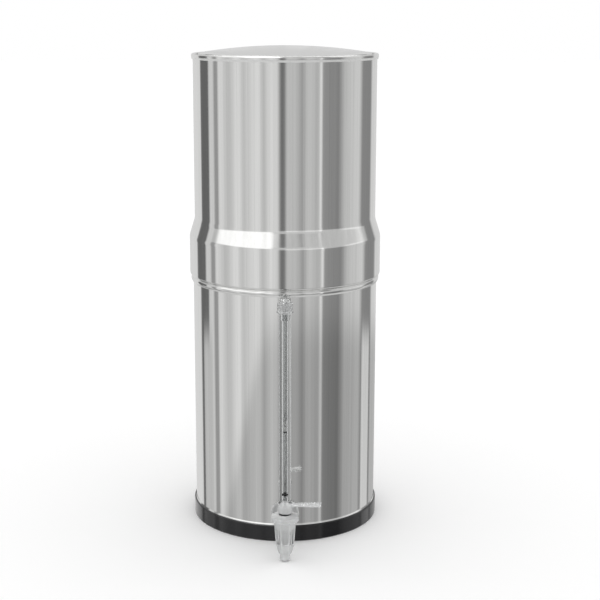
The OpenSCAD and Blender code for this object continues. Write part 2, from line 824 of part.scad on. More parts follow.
module lid() color([0.78, 0.78, 0.77]) {
    panel_edge_z = lid_top_z + 0.04 * lid_rise;
    dome_ball_r = (pow(lid_groove_r, 2) + pow(lid_rise, 2)) / 2 / lid_rise;
    dome_angle = asin(lid_groove_r / dome_ball_r);
    // The panel's dome stops just short of the groove, and a bend leads down from there
    short_share = 0.97;
    end = 90 - short_share * dome_angle;
    turned(sheet(concat(
        arc([0, panel_edge_z + lid_rise - dome_ball_r], dome_ball_r, 90, end, dome_steps),
        line_through([
            [lid_groove_r, panel_edge_z, 0],
            [lid_groove_r + 0.1 * lid_groove_w, lid_groove_z, groove_bend_r],
            [lid_step_r, lid_groove_z, groove_bend_r],
            [lid_step_r, lid_top_z, lid_bend_r],
            [lid_r, lid_top_z, lid_bend_r],
            [lid_r, lid_edge_z + 0.4 * lid_rim_h, 0],
            [lid_r - lid_tuck, lid_edge_z, 0]
        ])
    ), lid_t));
}

base_ring();
lower_floor();
lower_wall();
tap_body();
tap_outer_washer();
tap_inner_washer();
tap_nut();
sight_tube();
tube_seat();
tap_lever();
valve_plug();
valve_o_rings();
tube_cap();
level_float();
float_band();
upper_chamber();
filter_pan();
candle_washers();
candle_nuts();
candle_base(1);  // candle_base_1
candle_base(2);  // candle_base_2
candle_base(3);  // candle_base_3
candle_base(4);  // candle_base_4
candle_shell(1);  // candle_shell_1
candle_shell(2);  // candle_shell_2
candle_shell(3);  // candle_shell_3
candle_shell(4);  // candle_shell_4
candle_core(1);  // candle_core_1
candle_core(2);  // candle_core_2
candle_core(3);  // candle_core_3
candle_core(4);  // candle_core_4
lid();
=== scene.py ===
import math

import bmesh
import bpy
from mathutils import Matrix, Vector

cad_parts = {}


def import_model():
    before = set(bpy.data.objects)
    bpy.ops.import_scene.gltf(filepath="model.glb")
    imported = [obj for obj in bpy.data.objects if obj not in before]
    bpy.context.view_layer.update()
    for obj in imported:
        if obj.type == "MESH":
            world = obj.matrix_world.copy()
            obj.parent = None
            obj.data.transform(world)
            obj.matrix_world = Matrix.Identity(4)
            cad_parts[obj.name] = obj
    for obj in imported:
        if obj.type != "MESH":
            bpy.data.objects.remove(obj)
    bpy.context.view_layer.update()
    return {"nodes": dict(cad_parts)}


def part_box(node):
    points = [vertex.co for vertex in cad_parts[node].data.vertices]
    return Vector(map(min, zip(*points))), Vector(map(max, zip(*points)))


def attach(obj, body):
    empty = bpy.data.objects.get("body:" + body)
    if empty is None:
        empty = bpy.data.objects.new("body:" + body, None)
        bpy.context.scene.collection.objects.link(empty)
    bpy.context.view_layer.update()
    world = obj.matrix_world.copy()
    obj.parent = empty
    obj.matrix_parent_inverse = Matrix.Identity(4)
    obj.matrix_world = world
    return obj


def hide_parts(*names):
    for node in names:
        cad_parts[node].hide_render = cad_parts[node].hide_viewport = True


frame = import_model()

# Lengths are written in millimetres and turned to metres by MM
MM = 0.001
# Sides of a large round piece, of a small one, of a fine hole and of the lever's arm
SMOOTH_STEPS, SMALL_STEPS, FINE_STEPS, ARM_STEPS = 256, 64, 24, 20
# Flats of the tap's barrel and of the lever's cap, and ribs of the tube cap's collar
FLATS, COLLAR_RIBS = 8, 24
# Nearer points are merged, and nearer ones again after a cut
MERGE = 0.02 * MM
WELD = 0.2 * MERGE
# Radius that a closed end keeps while it is drawn, and how far inside a run's ends its shading is held
POLE = 0.004 * MM
HOLD = 0.5 * MM
# How far a cutter reaches past what it cuts
OVERRUN = 1 * MM
# How much of a face's direction has to point at the axis, or down, for the face to be an inner one
INWARDS = 0.2

# Chambers, as the frame has them
LOWER_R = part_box("lower_wall")[1].x
LOWER_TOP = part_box("lower_wall")[1].z
LOWER_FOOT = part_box("lower_wall")[0].z
SKIRT_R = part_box("upper_chamber")[1].x
HEM_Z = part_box("upper_chamber")[0].z
RIM_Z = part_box("upper_chamber")[1].z
LID_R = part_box("lid")[1].x
RING_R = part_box("base_ring")[1].x
RING_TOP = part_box("base_ring")[1].z
SHEET = 1.0 * MM
UPPER_R = LID_R - 2.0 * MM

# Tap and sight tube
SHANK_Z = (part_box("tap_nut")[0].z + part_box("tap_nut")[1].z) / 2
VALVE_Y = (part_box("valve_plug")[0].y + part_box("valve_plug")[1].y) / 2
TUBE_Y = (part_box("sight_tube")[0].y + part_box("sight_tube")[1].y) / 2
TUBE_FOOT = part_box("sight_tube")[0].z
TUBE_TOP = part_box("sight_tube")[1].z
TUBE_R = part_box("sight_tube")[1].x
VALVE = (0.0, VALVE_Y)
TUBE = (0.0, TUBE_Y)
# Half of a flat's turn, and from an eight-sided piece's half width to its corner
HALF_FLAT = 180 / FLATS
TO_CORNER = 1 / math.cos(math.radians(HALF_FLAT))
# The barrel over the nozzle and the lever's cap: half width and height of each level, in millimetres
BARREL = [(8.2, 11.2), (12.2, 24.2), (14.4, 55.6), (18.0, 59.0), (18.0, 63.8), (9.75, 66.0)]
CAP = [(8.45, 0), (8.8, 9.2), (3.4, 14.8)]
# In each flat of the barrel a panel and two flutes: width, height and depth, and how far aside they are
PANEL = (7.6 * MM, 23.5 * MM, 0.8 * MM)
FLUTE = (1.2 * MM, 20.5 * MM, 2.2 * MM)
FLUTE_ASIDE = 1.7 * MM


# Outlines, as lists of (radius, height)
def arc(cx, cz, r, a0, a1, steps=8):
    angles = [math.radians(a0 + (a1 - a0) * i / steps) for i in range(steps + 1)]
    return [(cx + r * math.cos(a), cz + r * math.sin(a)) for a in angles]


def rounded(points, steps=6):
    """The line through (radius, height, rounding) points, each corner rounded by its own radius."""
    line = []
    for i, (x, z, r) in enumerate(points):
        here = Vector((x, z))
        if not r:
            line.append((x, z))
            continue
        to_last = (Vector(points[i - 1][:2]) - here).normalized()
        to_next = (Vector(points[i + 1][:2]) - here).normalized()
        half = to_last.angle(to_next) / 2
        centre = here + (to_last + to_next).normalized() * (r / math.sin(half))
        start = here + to_last * (r / math.tan(half)) - centre
        end = here + to_next * (r / math.tan(half)) - centre
        a0 = math.degrees(math.atan2(start.y, start.x))
        turn = math.degrees(math.atan2(start.x * end.y - start.y * end.x, start.dot(end)))
        line += arc(centre.x, centre.y, r, a0, a0 + turn, steps)
    return line


def held(line):
    """Adds a point just inside each end of a long straight run, so that the run shades flat."""
    made = line[:1]
    for (ra, za), (rb, zb) in zip(line, line[1:]):
        length = math.hypot(rb - ra, zb - za)
        if length > 6 * HOLD:
            dr, dz = (rb - ra) * HOLD / length, (zb - za) * HOLD / length
            made += [(ra + dr, za + dz), (rb - dr, zb - dz)]
        made.append((rb, zb))
    return made


def closed(outline):
    return outline + outline[:1]


def rod(radius, low, high):
    return [(0, low), (radius, low), (radius, high), (0, high)]


# Modelling
def start_fresh():
    if bpy.context.object and bpy.context.object.mode != "OBJECT":
        bpy.ops.object.mode_set(mode="OBJECT")
    bpy.ops.object.select_all(action="DESELECT")


def pick(piece):
    start_fresh()
    piece.select_set(True)
    bpy.context.view_layer.objects.active = piece


def edit(piece):
    pick(piece)
    bpy.ops.object.mode_set(mode="EDIT")


def settle():
    """Makes the active piece's place, turn and size its mesh's own."""
    bpy.ops.object.transform_apply(location=True, rotation=True, scale=True)


def extrude(move):
    bpy.ops.mesh.extrude_region_move(TRANSFORM_OT_translate={"value": move})


def close_up(merge=None):
    """Leaves edit mode with every face pointing outwards, and near points merged where that is asked."""
    bpy.ops.mesh.select_all(action="SELECT")
    if merge:
        bpy.ops.mesh.remove_doubles(threshold=merge)
    bpy.ops.mesh.normals_make_consistent(inside=False)
    bpy.ops.object.mode_set(mode="OBJECT")


def turned(name, outline, centre=(0.0, 0.0), steps=SMOOTH_STEPS, turn=0.0):
    """A ring of points, drawn through the outline's places one after the other."""
    start_fresh()
    # Round pieces only: an eight-sided one shades flat without
    if steps > FLATS:
        outline = held(outline)
    outline = [(max(r, POLE), z) for r, z in outline]
    (r0, z0), (cx, cy) = outline[0], centre
    bpy.ops.mesh.primitive_circle_add(
        vertices=steps, radius=r0, location=(cx, cy, z0), rotation=(0, 0, math.radians(turn)))
    piece = bpy.context.object
    piece.name = name
    settle()
    edit(piece)
    bpy.ops.mesh.select_all(action="SELECT")
    for (ra, za), (rb, zb) in zip(outline, outline[1:]):
        extrude((0, 0, zb - za))
        bpy.ops.transform.resize(value=(rb / ra, rb / ra, 1), center_override=(cx, cy, zb))
    close_up(MERGE)
    return piece


def modify(piece, kind, **values):
    pick(piece)
    bpy.ops.object.modifier_add(type=kind)
    modifier = piece.modifiers[-1]
    for key, value in values.items():
        setattr(modifier, key, value)
    bpy.ops.object.modifier_apply(modifier=modifier.name)
    return piece


def bevelled(piece, width, segments, angle):
    return modify(piece, "BEVEL", width=width, segments=segments, limit_method="ANGLE",
                  angle_limit=math.radians(angle), harden_normals=False)


def eight_sided(name, levels, foot=0.0):
    """A closed eight-sided piece round the valve's axis, with small rounded edges."""
    outline = [(half * TO_CORNER * MM, foot + z * MM) for half, z in levels]
    outline = [(0, outline[0][1])] + outline + [(0, outline[-1][1])]
    piece = turned(name, outline, VALVE, FLATS, HALF_FLAT)
    return bevelled(piece, width=0.45 * MM, segments=3, angle=20)


def thickened(shell):
    """Gives a drawn surface the sheet's thickness inwards, and breaks the sheet's edges."""
    modify(shell, "SOLIDIFY", thickness=SHEET, offset=-1, use_even_offset=True)
    return bevelled(shell, width=0.25 * MM, segments=2, angle=60)


def combined(piece, others, operation):
    for other in others:
        modify(piece, "BOOLEAN", operation=operation, object=other, solver="EXACT")
        bpy.data.objects.remove(other)
    return piece


def weld(piece):
    edit(piece)
    close_up(WELD)
    return piece


def smooth(piece, angle):
    pick(piece)
    bpy.ops.object.shade_smooth_by_angle(angle=math.radians(angle))
    return piece


def flat_faced(piece):
    """Smooth over the small bevels only; the large faces keep their own direction."""
    smooth(piece, angle=25)
    return modify(piece, "WEIGHTED_NORMAL", weight=80, keep_sharp=True)


def stand_at(piece, turn, place):
    """Turns a piece about the origin, moves it and makes that its own shape."""
    pick(piece)
    piece.rotation_euler = turn
    piece.location = place
    settle()
    return piece


def lay_forward(piece, y, z):
    """Lays a piece made about +Z along -Y, from y, at height z."""
    return stand_at(piece, (math.radians(90), 0, 0), (0, y, z))


def lined(piece, lining, hidden):
    """Gives the faces inside a sheet piece the lining's finish; hidden tells them by place and normal."""
    piece.data.materials.append(lining)
    for face in piece.data.polygons:
        if hidden(face.center, face.normal):
            face.material_index = 1
    return piece


def faces_axis(centre, normal):
    return centre.x * normal.x + centre.y * normal.y < -INWARDS * math.hypot(centre.x, centre.y)


def faces_down(centre, normal):
    return normal.z < -INWARDS


def dressed(piece, material, body, slot, *nodes):
    piece.data.materials.clear()
    piece.data.materials.append(material)
    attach(piece, body)
    if nodes:
        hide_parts(*nodes)
    return piece


# Shader nodes, and the node groups, each built once
def feed(tree, value, socket):
    """Sets a socket to a number, or links another node's output to it."""
    if isinstance(value, (int, float)):
        socket.default_value = value
    else:
        tree.links.new(value, socket)


def math_node(tree, operation, *values):
    node = tree.nodes.new("ShaderNodeMath")
    node.operation = operation
    for socket, value in zip(node.inputs, values):
        feed(tree, value, socket)
    return node.outputs[0]


def product(tree, first, *others):
    for other in others:
        first = math_node(tree, "MULTIPLY", first, other)
    return first


def between(tree, value, low, high):
    """Takes a value from 0..1 to low..high."""
    node = tree.nodes.new("ShaderNodeMapRange")
    for label, end in (("Value", value), ("To Min", low), ("To Max", high)):
        feed(tree, end, node.inputs[label])
    return node.outputs["Result"]


def noise(tree, vector, scale, detail, roughness=0.5):
    node = tree.nodes.new("ShaderNodeTexNoise")
    tree.links.new(vector, node.inputs["Vector"])
    for label, value in (("Scale", scale), ("Detail", detail), ("Roughness", roughness)):
        feed(tree, value, node.inputs[label])
    return node.outputs["Fac"]


def new_group(name, values, outputs):
    """A node group that takes a Vector and the named values, and puts out the named numbers."""
    group = bpy.data.node_groups.new(name, "ShaderNodeTree")
    group.interface.new_socket("Vector", in_out="INPUT", socket_type="NodeSocketVector")
    for label, value in values.items():
        socket = group.interface.new_socket(label, in_out="INPUT", socket_type="NodeSocketFloat")
        socket.default_value = value
    for label in outputs:
        group.interface.new_socket(label, in_out="OUTPUT", socket_type="NodeSocketFloat")
    return group, group.nodes.new("NodeGroupInput").outputs, group.nodes.new("NodeGroupOutput").inputs


def make_grain_group():
    """Polishing grain: fine lines along Z on a wall, or round the axis on a lid, and soft broad bands."""
    # The grain's size up the wall, as a share of its size across
    stretch = 0.012
    group, given, made = new_group("polishing_grain", {"Fine": 900.0, "Round": 0.0}, ["Grain", "Bands"])
    split = group.nodes.new("ShaderNodeSeparateXYZ")
    group.links.new(given["Vector"], split.inputs[0])
    x, y, z = split.outputs
    across = math_node(group, "ADD", product(group, x, x), product(group, y, y))
    on_wall = group.nodes.new("ShaderNodeCombineXYZ")
    for socket, value in zip(on_wall.inputs, (x, y, product(group, z, stretch))):
        group.links.new(value, socket)
    on_lid = group.nodes.new("ShaderNodeCombineXYZ")
    group.links.new(math_node(group, "SQRT", across), on_lid.inputs[0])
    mix = group.nodes.new("ShaderNodeMix")
    mix.data_type = "VECTOR"
    group.links.new(given["Round"], mix.inputs["Factor"])
    # The Mix node's two vector inputs and its vector output
    group.links.new(on_wall.outputs[0], mix.inputs[4])
    group.links.new(on_lid.outputs[0], mix.inputs[5])
    along = mix.outputs[1]
    group.links.new(noise(group, along, given["Fine"], detail=4.0), made["Grain"])
    group.links.new(noise(group, along, 160.0, detail=5.0, roughness=0.65), made["Bands"])
    return group


def make_mottle_group():
    """Soft blotches with fine specks, for moulded and pressed surfaces."""
    group, given, made = new_group("mottle", {"Size": 60.0, "Specks": 900.0}, ["Blotches", "Specks"])
    group.links.new(noise(group, given["Vector"], given["Size"], detail=3.0), made["Blotches"])
    group.links.new(noise(group, given["Vector"], given["Specks"], detail=2.0), made["Specks"])
    return group


GRAIN = make_grain_group()
MOTTLE = make_mottle_group()


# Materials
def new_material(name):
    material = bpy.data.materials.new(name)
    material.use_nodes = True
    tree = material.node_tree
    coordinates = tree.nodes.new("ShaderNodeTexCoord").outputs["Object"]
    return material, tree, tree.nodes["Principled BSDF"], coordinates


def place_group(tree, group, vector, **values):
    node = tree.nodes.new("ShaderNodeGroup")
    node.node_tree = group
    tree.links.new(vector, node.inputs["Vector"])
    for label, value in values.items():
        node.inputs[label].default_value = value
    return node.outputs


def two_tone(tree, factor, dark, light):
    node = tree.nodes.new("ShaderNodeMix")
    node.data_type = "RGBA"
    tree.links.new(factor, node.inputs["Factor"])
    # The Mix node's two colour inputs and its colour output
    node.inputs[6].default_value = (*dark, 1)
    node.inputs[7].default_value = (*light, 1)
    return node.outputs[2]


def bumped(tree, height, strength, distance):
    node = tree.nodes.new("ShaderNodeBump")
    node.inputs["Strength"].default_value = strength
    node.inputs["Distance"].default_value = distance
    tree.links.new(height, node.inputs["Height"])
    return node.outputs["Normal"]


# Depth of the steel's grain, of a moulding's specks and of clear plastic's blotches, at a bump of 1
GRAIN_DEPTH, SPECK_DEPTH, BLOTCH_DEPTH = 0.02 * MM, 0.05 * MM, 0.1 * MM


def steel(name, dark, light, rough, bump, is_round=0.0, metal=1.0):
    material, tree, shader, place = new_material(name)
    grain = place_group(tree, GRAIN, place, Round=is_round)
    tree.links.new(two_tone(tree, grain["Bands"], dark, light), shader.inputs["Base Color"])
    tree.links.new(between(tree, grain["Grain"], *rough), shader.inputs["Roughness"])
    tree.links.new(bumped(tree, grain["Grain"], bump, GRAIN_DEPTH), shader.inputs["Normal"])
    shader.inputs["Metallic"].default_value = metal
    return material


def moulded(name, dark, light, rough, bump, size=60.0, specks=900.0, coat=0.0):
    material, tree, shader, place = new_material(name)
    mottle = place_group(tree, MOTTLE, place, Size=size, Specks=specks)
    tree.links.new(two_tone(tree, mottle["Blotches"], dark, light), shader.inputs["Base Color"])
    tree.links.new(between(tree, mottle["Blotches"], *rough), shader.inputs["Roughness"])
    tree.links.new(bumped(tree, mottle["Specks"], bump, SPECK_DEPTH), shader.inputs["Normal"])
    shader.inputs["Coat Weight"].default_value = coat
    shader.inputs["Coat Roughness"].default_value = 0.15
    return material


def clear(name, tint, rough, bump=0.0, clarity=1.0, coat=0.0, gloss=1.0):
    """Clear plastic in its tint and a paler one; clarity is the share of light that goes through."""
    material, tree, shader, place = new_material(name)
    mottle = place_group(tree, MOTTLE, place, Size=90.0, Specks=500.0)
    pale = tuple(1 - (1 - c) * 0.7 for c in tint)
    tree.links.new(two_tone(tree, mottle["Blotches"], tint, pale), shader.inputs["Base Color"])
    tree.links.new(between(tree, mottle["Blotches"], *rough), shader.inputs["Roughness"])
    if bump:
        tree.links.new(bumped(tree, mottle["Blotches"], bump, BLOTCH_DEPTH), shader.inputs["Normal"])
    shader.inputs["Transmission Weight"].default_value = clarity
    shader.inputs["Specular Tint"].default_value = (gloss, gloss, gloss, 1)
    shader.inputs["IOR"].default_value = 1.49
    shader.inputs["Coat Weight"].default_value = coat
    shader.inputs["Coat Roughness"].default_value = 0.04
    return material


# Each with its dark and light tone and its least and greatest roughness
WALL_STEEL = steel(
    "wall_steel", (0.72, 0.72, 0.71), (0.88, 0.88, 0.87), (0.05, 0.10), bump=0.08)
LID_STEEL = steel(
    "lid_steel", (0.76, 0.76, 0.75), (0.86, 0.86, 0.85), (0.08, 0.14), bump=0.10, is_round=1.0)
INNER_STEEL = steel(
    "inner_steel", (0.68, 0.68, 0.67), (0.78, 0.78, 0.77), (0.25, 0.35), bump=0.15, metal=0.4)
BLACK_RUBBER = moulded(
    "black_rubber", (0.004, 0.004, 0.005), (0.008, 0.008, 0.009), (0.10, 0.16), bump=0.04, coat=0.3)
BLACK_SEAL = moulded(
    "black_seal", (0.012, 0.012, 0.013), (0.02, 0.02, 0.021), (0.3, 0.42), bump=0.15, size=200.0)
PALE_SILICONE = moulded(
    "pale_silicone", (0.74, 0.74, 0.72), (0.82, 0.82, 0.8), (0.4, 0.5), bump=0.2, size=120.0)
WHITE_PLASTIC = moulded(
    "white_plastic", (0.80, 0.80, 0.78), (0.86, 0.86, 0.84), (0.28, 0.4), bump=0.12, size=80.0)
CERAMIC = moulded(
    "fine_ceramic", (0.80, 0.78, 0.73), (0.88, 0.87, 0.83), (0.7, 0.85), bump=0.5, size=45.0, specks=1600.0)
CARBON = moulded(
    "pressed_carbon", (0.012, 0.012, 0.013), (0.05, 0.05, 0.05), (0.55, 0.8), bump=0.9, size=300.0,
    specks=700.0)
CLEAR_PLASTIC = clear("clear_plastic", (0.88, 0.89, 0.89), (0.01, 0.03), bump=0.03, clarity=0.56, coat=1.0)
CLEAR_TUBE = clear("clear_tube", (0.66, 0.67, 0.67), (0.0, 0.01), gloss=0.3)
CLEAR_CAP = clear("clear_cap", (0.82, 0.83, 0.83), (0.01, 0.03), clarity=0.75, coat=1.0)


# Lower chamber
def make_base_ring():
    lip_r = LOWER_R - 20 * MM
    foot_bend, top_bend = 1.68 * MM, 1.26 * MM
    lip_edge, step_edge = 0.4 * MM, 0.3 * MM
    outline = [(lip_r + lip_edge, 0.0)]
    outline += arc(RING_R - foot_bend, foot_bend, foot_bend, -90, 0)
    outline += arc(RING_R - top_bend, RING_TOP - top_bend, top_bend, 0, 90)
    outline += [(LOWER_R + step_edge, RING_TOP), (LOWER_R, RING_TOP - step_edge), (LOWER_R, LOWER_FOOT)]
    outline += [(lip_r + lip_edge, LOWER_FOOT), (lip_r, LOWER_FOOT - lip_edge), (lip_r, lip_edge)]
    ring = turned("base_ring_rubber", closed(outline))
    return dressed(smooth(ring, angle=50), BLACK_RUBBER, "lower_stand", "black_rubber", "base_ring")


def make_lower_wall():
    inner = LOWER_R - SHEET
    # Just over the ring the wall flares out on to the ring's lip
    flare, flare_h, flare_bend = 0.9 * MM, 2.2 * MM, 0.8 * MM
    lip_z, lip_h, lip_bend = RING_TOP + 0.05 * MM, 0.3 * MM, 0.08 * MM
    # The mouth is folded in to a hem of two sheets
    hem_r, hem_bend = LOWER_R - 2 * MM, 0.9 * MM
    hem_z, hem_end_z, hem_end_bend = LOWER_TOP - 9 * MM, LOWER_TOP - 9.3 * MM, 0.4 * MM
    plain_z = LOWER_TOP - 40 * MM
    outline = rounded([
        (LOWER_R, LOWER_FOOT, 0),
        (LOWER_R, lip_z, 0),
        (LOWER_R + flare, lip_z, lip_bend),
        (LOWER_R + flare, RING_TOP + lip_h, lip_bend),
        (LOWER_R, RING_TOP + flare_h, flare_bend),
        (LOWER_R, plain_z, 0),
        (LOWER_R, LOWER_TOP, hem_bend),
        (hem_r, LOWER_TOP, hem_bend),
        (hem_r, hem_z, hem_end_bend),
        (inner, hem_end_z, 0),
        (inner, LOWER_FOOT, 0),
    ])
    wall = turned("lower_wall_shell", closed(outline))
    hole_r, hole_reach = 8.4 * MM, 20 * MM
    hole = turned("hole", rod(hole_r, 0, 2 * hole_reach), steps=SMALL_STEPS)
    lay_forward(hole, -LOWER_R + hole_reach, SHANK_Z)
    combined(wall, [hole], "DIFFERENCE")
    dressed(smooth(wall, angle=40), WALL_STEEL, "lower_stand", "polished_steel", "lower_wall")
    return lined(wall, INNER_STEEL, faces_axis)


# Upper chamber
def make_upper_chamber():
    shoulder_z = HEM_Z + 65.0 * MM
    shoulder_top = shoulder_z + 23.5 * MM
    top_bend, foot_bend = 24 * MM, 20 * MM
    neck_r, neck_bend = LOWER_R + 1.3 * MM, 0.8 * MM
    # The rolled hem is a bead of this radius and height; the skirt draws in over it
    bead_r, hem_h = 6 * MM, 8.5 * MM
    draw_in, skirt_bend = 2.6 * MM, 2.2 * MM
    half = math.degrees(math.asin(hem_h / 2 / bead_r))
    middle = (neck_r - bead_r * math.cos(math.radians(half)), HEM_Z + hem_h / 2)
    # The bead starts a little under the neck, which leaves room for the bend between them
    bead = arc(*middle, bead_r, 0.8 * half, -half, steps=14)
    outer = rounded([
        (UPPER_R, RIM_Z, 0),
        (UPPER_R, shoulder_top, top_bend),
        (SKIRT_R, shoulder_z, foot_bend),
        (SKIRT_R, HEM_Z + hem_h + draw_in, skirt_bend),
        (neck_r, HEM_Z + hem_h, neck_bend),
        (*bead[0], 0),
    ], steps=8)
    shell = thickened(turned("upper_chamber_shell", outer + bead[1:]))
    dressed(smooth(shell, angle=40), WALL_STEEL, "upper_stand", "polished_steel", "upper_chamber")
    return lined(shell, INNER_STEEL, faces_axis)


# Lid
def make_lid():
    top = RIM_Z + 1.5 * MM
    # The rolled rim, drawn in a little at its lower edge
    edge, rim_bend = top - 7.4 * MM, 1.9 * MM
    edge_h, edge_in = 3 * MM, 0.7 * MM
    # The groove inside it, and the dome inside the groove
    groove_z, groove_bend, groove_lean = top - 10.5 * MM, 1.8 * MM, 0.5 * MM
    step_r = UPPER_R - SHEET - 1.4 * MM
    groove_r = step_r - 5 * MM
    rise = 9.8 * MM
    panel = top + 0.04 * rise
    ball = (groove_r ** 2 + rise ** 2) / 2 / rise
    reach = math.degrees(math.asin(groove_r / ball))
    # The dome's arc stops short of the groove, which gives the corner there a soft edge
    dome = arc(0, panel + rise - ball, ball, 90, 90 - 0.97 * reach, steps=24)
    rim = rounded([
        (groove_r, panel, 0),
        (groove_r + groove_lean, groove_z, groove_bend),
        (step_r, groove_z, groove_bend),
        (step_r, top, rim_bend),
        (LID_R, top, rim_bend),
        (LID_R, edge + edge_h, 0),
        (LID_R - edge_in, edge, 0),
    ], steps=8)
    shell = thickened(turned("lid_shell", dome + rim))
    dressed(smooth(shell, angle=40), LID_STEEL, "cover", "polished_steel", "lid")
    return lined(shell, INNER_STEEL, faces_down)


# Tap
def make_tap_body():
    """The moulding: shank, flange, neck, socket, barrel and nozzle, less its water ways."""
    shank_end = -LOWER_R + 27 * MM
    reach = shank_end - VALVE_Y
    barrel = eight_sided("tap_moulding", BARREL)
    nozzle = make_nozzle()
    neck = make_neck(shank_end, reach)
    socket = make_socket()
    combined(barrel, panel_cutters(), "DIFFERENCE")
    combined(barrel, [nozzle, neck, socket], "UNION")
    combined(barrel, water_ways(shank_end, reach), "DIFFERENCE")
    weld(barrel)
    return dressed(flat_faced(barrel), CLEAR_PLASTIC, "lower_stand", "clear_plastic", "tap_body")


def make_nozzle():
    tip_r, tip_z, tip_bend = 6.9 * MM, 2.2 * MM, 0.6 * MM
    straight_z, root_r, root_z = 8 * MM, 7.3 * MM, 11.6 * MM
    inside_z = 12.6 * MM
    outline = rounded([
        (0, tip_z, 0), (tip_r, tip_z, tip_bend), (tip_r, straight_z, 0), (root_r, root_z, 0),
        (0, inside_z, 0)])
    return turned("nozzle", outline, VALVE, SMALL_STEPS)


def make_neck(shank_end, reach):
    """The shank through the wall, the flange in front of it and the neck up to the valve's axis."""
    shank_r, shank_tip_r, shank_taper = 8 * MM, 7 * MM, 1 * MM
    flange_r, flange_y, flange_h = 19.3 * MM, shank_end + LOWER_R + 2 * MM, 3.5 * MM
    back_bend, front_bend = 0.5 * MM, 0.9 * MM
    neck_r, neck_bend = 10 * MM, 1.2 * MM
    outline = rounded([
        (0, 0, 0),
        (shank_tip_r, 0, 0),
        (shank_r, shank_taper, 0),
        (shank_r, flange_y, 0),
        (flange_r, flange_y, back_bend),
        (flange_r, flange_y + flange_h, front_bend),
        (neck_r, flange_y + flange_h, neck_bend),
        (neck_r, reach, 0),
        (0, reach, 0),
    ])
    return lay_forward(turned("neck", outline, steps=SMALL_STEPS), shank_end, SHANK_Z)


def make_socket():
    """The sight tube's socket, with a spigot in its bore that ends in a small dish."""
    socket_r, socket_z, socket_bend = 10.6 * MM, 64 * MM, 1 * MM
    bore_r, bore_bend = 8.1 * MM, 0.5 * MM
    spigot_r, spigot_z, spigot_bend = 2.75 * MM, 75.2 * MM, 0.3 * MM
    dish_r, dish_floor_r, dish_z = 1.5 * MM, 1.2 * MM, 74.4 * MM
    outline = rounded([
        (0, SHANK_Z, 0),
        (socket_r, SHANK_Z, 0),
        (socket_r, socket_z, socket_bend),
        (bore_r, socket_z, bore_bend),
        (bore_r, TUBE_FOOT, 0),
        (spigot_r, TUBE_FOOT, 0),
        (spigot_r, spigot_z, spigot_bend),
        (dish_r, spigot_z, 0),
        (dish_floor_r, dish_z, 0),
        (0, dish_z, 0),
    ])
    return turned("socket", outline, TUBE, SMALL_STEPS)


def water_ways(shank_end, reach):
    """Cutters for the valve's bore down through the nozzle, the shank's way and the riser to the tube."""
    low, high, outlet_r = 1 * MM, 70 * MM, 5 * MM
    plug_r, plug_z = 8.25 * MM, 28.4 * MM
    way_r, riser_r, riser_top = 4 * MM, 0.8 * MM, 76 * MM
    bore = turned("bore", [
        (0, low), (outlet_r, low), (outlet_r, plug_z), (plug_r, plug_z), (plug_r, high), (0, high)],
        VALVE, SMALL_STEPS)
    way = turned("way", rod(way_r, 0, reach), steps=SMALL_STEPS)
    lay_forward(way, shank_end + OVERRUN, SHANK_Z)
    riser = turned("riser", rod(riser_r, SHANK_Z, riser_top), TUBE, FINE_STEPS)
    return [bore, way, riser]


def panel_cutters():
    """Cutters for the arch-headed panel in each of the barrel's flats, and its two upright flutes."""
    (half_low, low), (half_high, high) = [(half * MM, z * MM) for half, z in BARREL[1:3]]
    lean = math.atan2(half_high - half_low, high - low)
    panel_foot = 2.2 * MM
    cutters = []
    for side in range(FLATS):
        for across, sizes in ((0.0, PANEL), (-FLUTE_ASIDE, FLUTE), (FLUTE_ASIDE, FLUTE)):
            cutter = arch_cutter(across, *sizes)
            stand_at(cutter, (lean, 0, 0), (0, -half_low, low + panel_foot))
            stand_at(cutter, (0, 0, math.radians(2 * HALF_FLAT * side)), (0, VALVE_Y, 0))
            cutters.append(cutter)
    return cutters


def arch_cutter(across, width, height, depth):
    """An upright slab with a round head; its foot is at the origin and it bites to the given depth."""
    start_fresh()
    head = height - width / 2
    bpy.ops.mesh.primitive_circle_add(
        vertices=FINE_STEPS, radius=width / 2, fill_type="NGON", location=(across, depth, head),
        rotation=(math.radians(90), 0, 0))
    cutter = bpy.context.object
    settle()
    edit(cutter)
    # The disc's lower half is drawn down flat to the foot, and the arch out to the front
    mesh = bmesh.from_edit_mesh(cutter.data)
    for vertex in mesh.verts:
        vertex.select_set(vertex.co.z < head - 0.01 * MM)
    mesh.select_flush_mode()
    bpy.ops.transform.resize(value=(1, 1, 0), center_override=(across, depth, 0))
    bpy.ops.mesh.select_all(action="SELECT")
    extrude((0, -10 * OVERRUN, 0))
    close_up()
    return cutter


def make_lever():
    cap_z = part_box("tap_lever")[0].z
    cap = eight_sided("lever_moulding", CAP, cap_z)
    combined(cap, [make_lever_arm(cap_z)], "UNION")
    # The square socket for the plug's stem
    socket_w, socket_h, socket_middle = 8.1 * MM, 11.05 * MM, 4.5 * MM
    start_fresh()
    bpy.ops.mesh.primitive_cube_add(size=1)
    socket = bpy.context.object
    socket.scale = (socket_w, socket_w, socket_h)
    socket.location = (0, VALVE_Y, cap_z + socket_middle)
    settle()
    combined(cap, [socket], "DIFFERENCE")
    return dressed(flat_faced(cap), CLEAR_PLASTIC, "valve", "clear_plastic", "tap_lever")


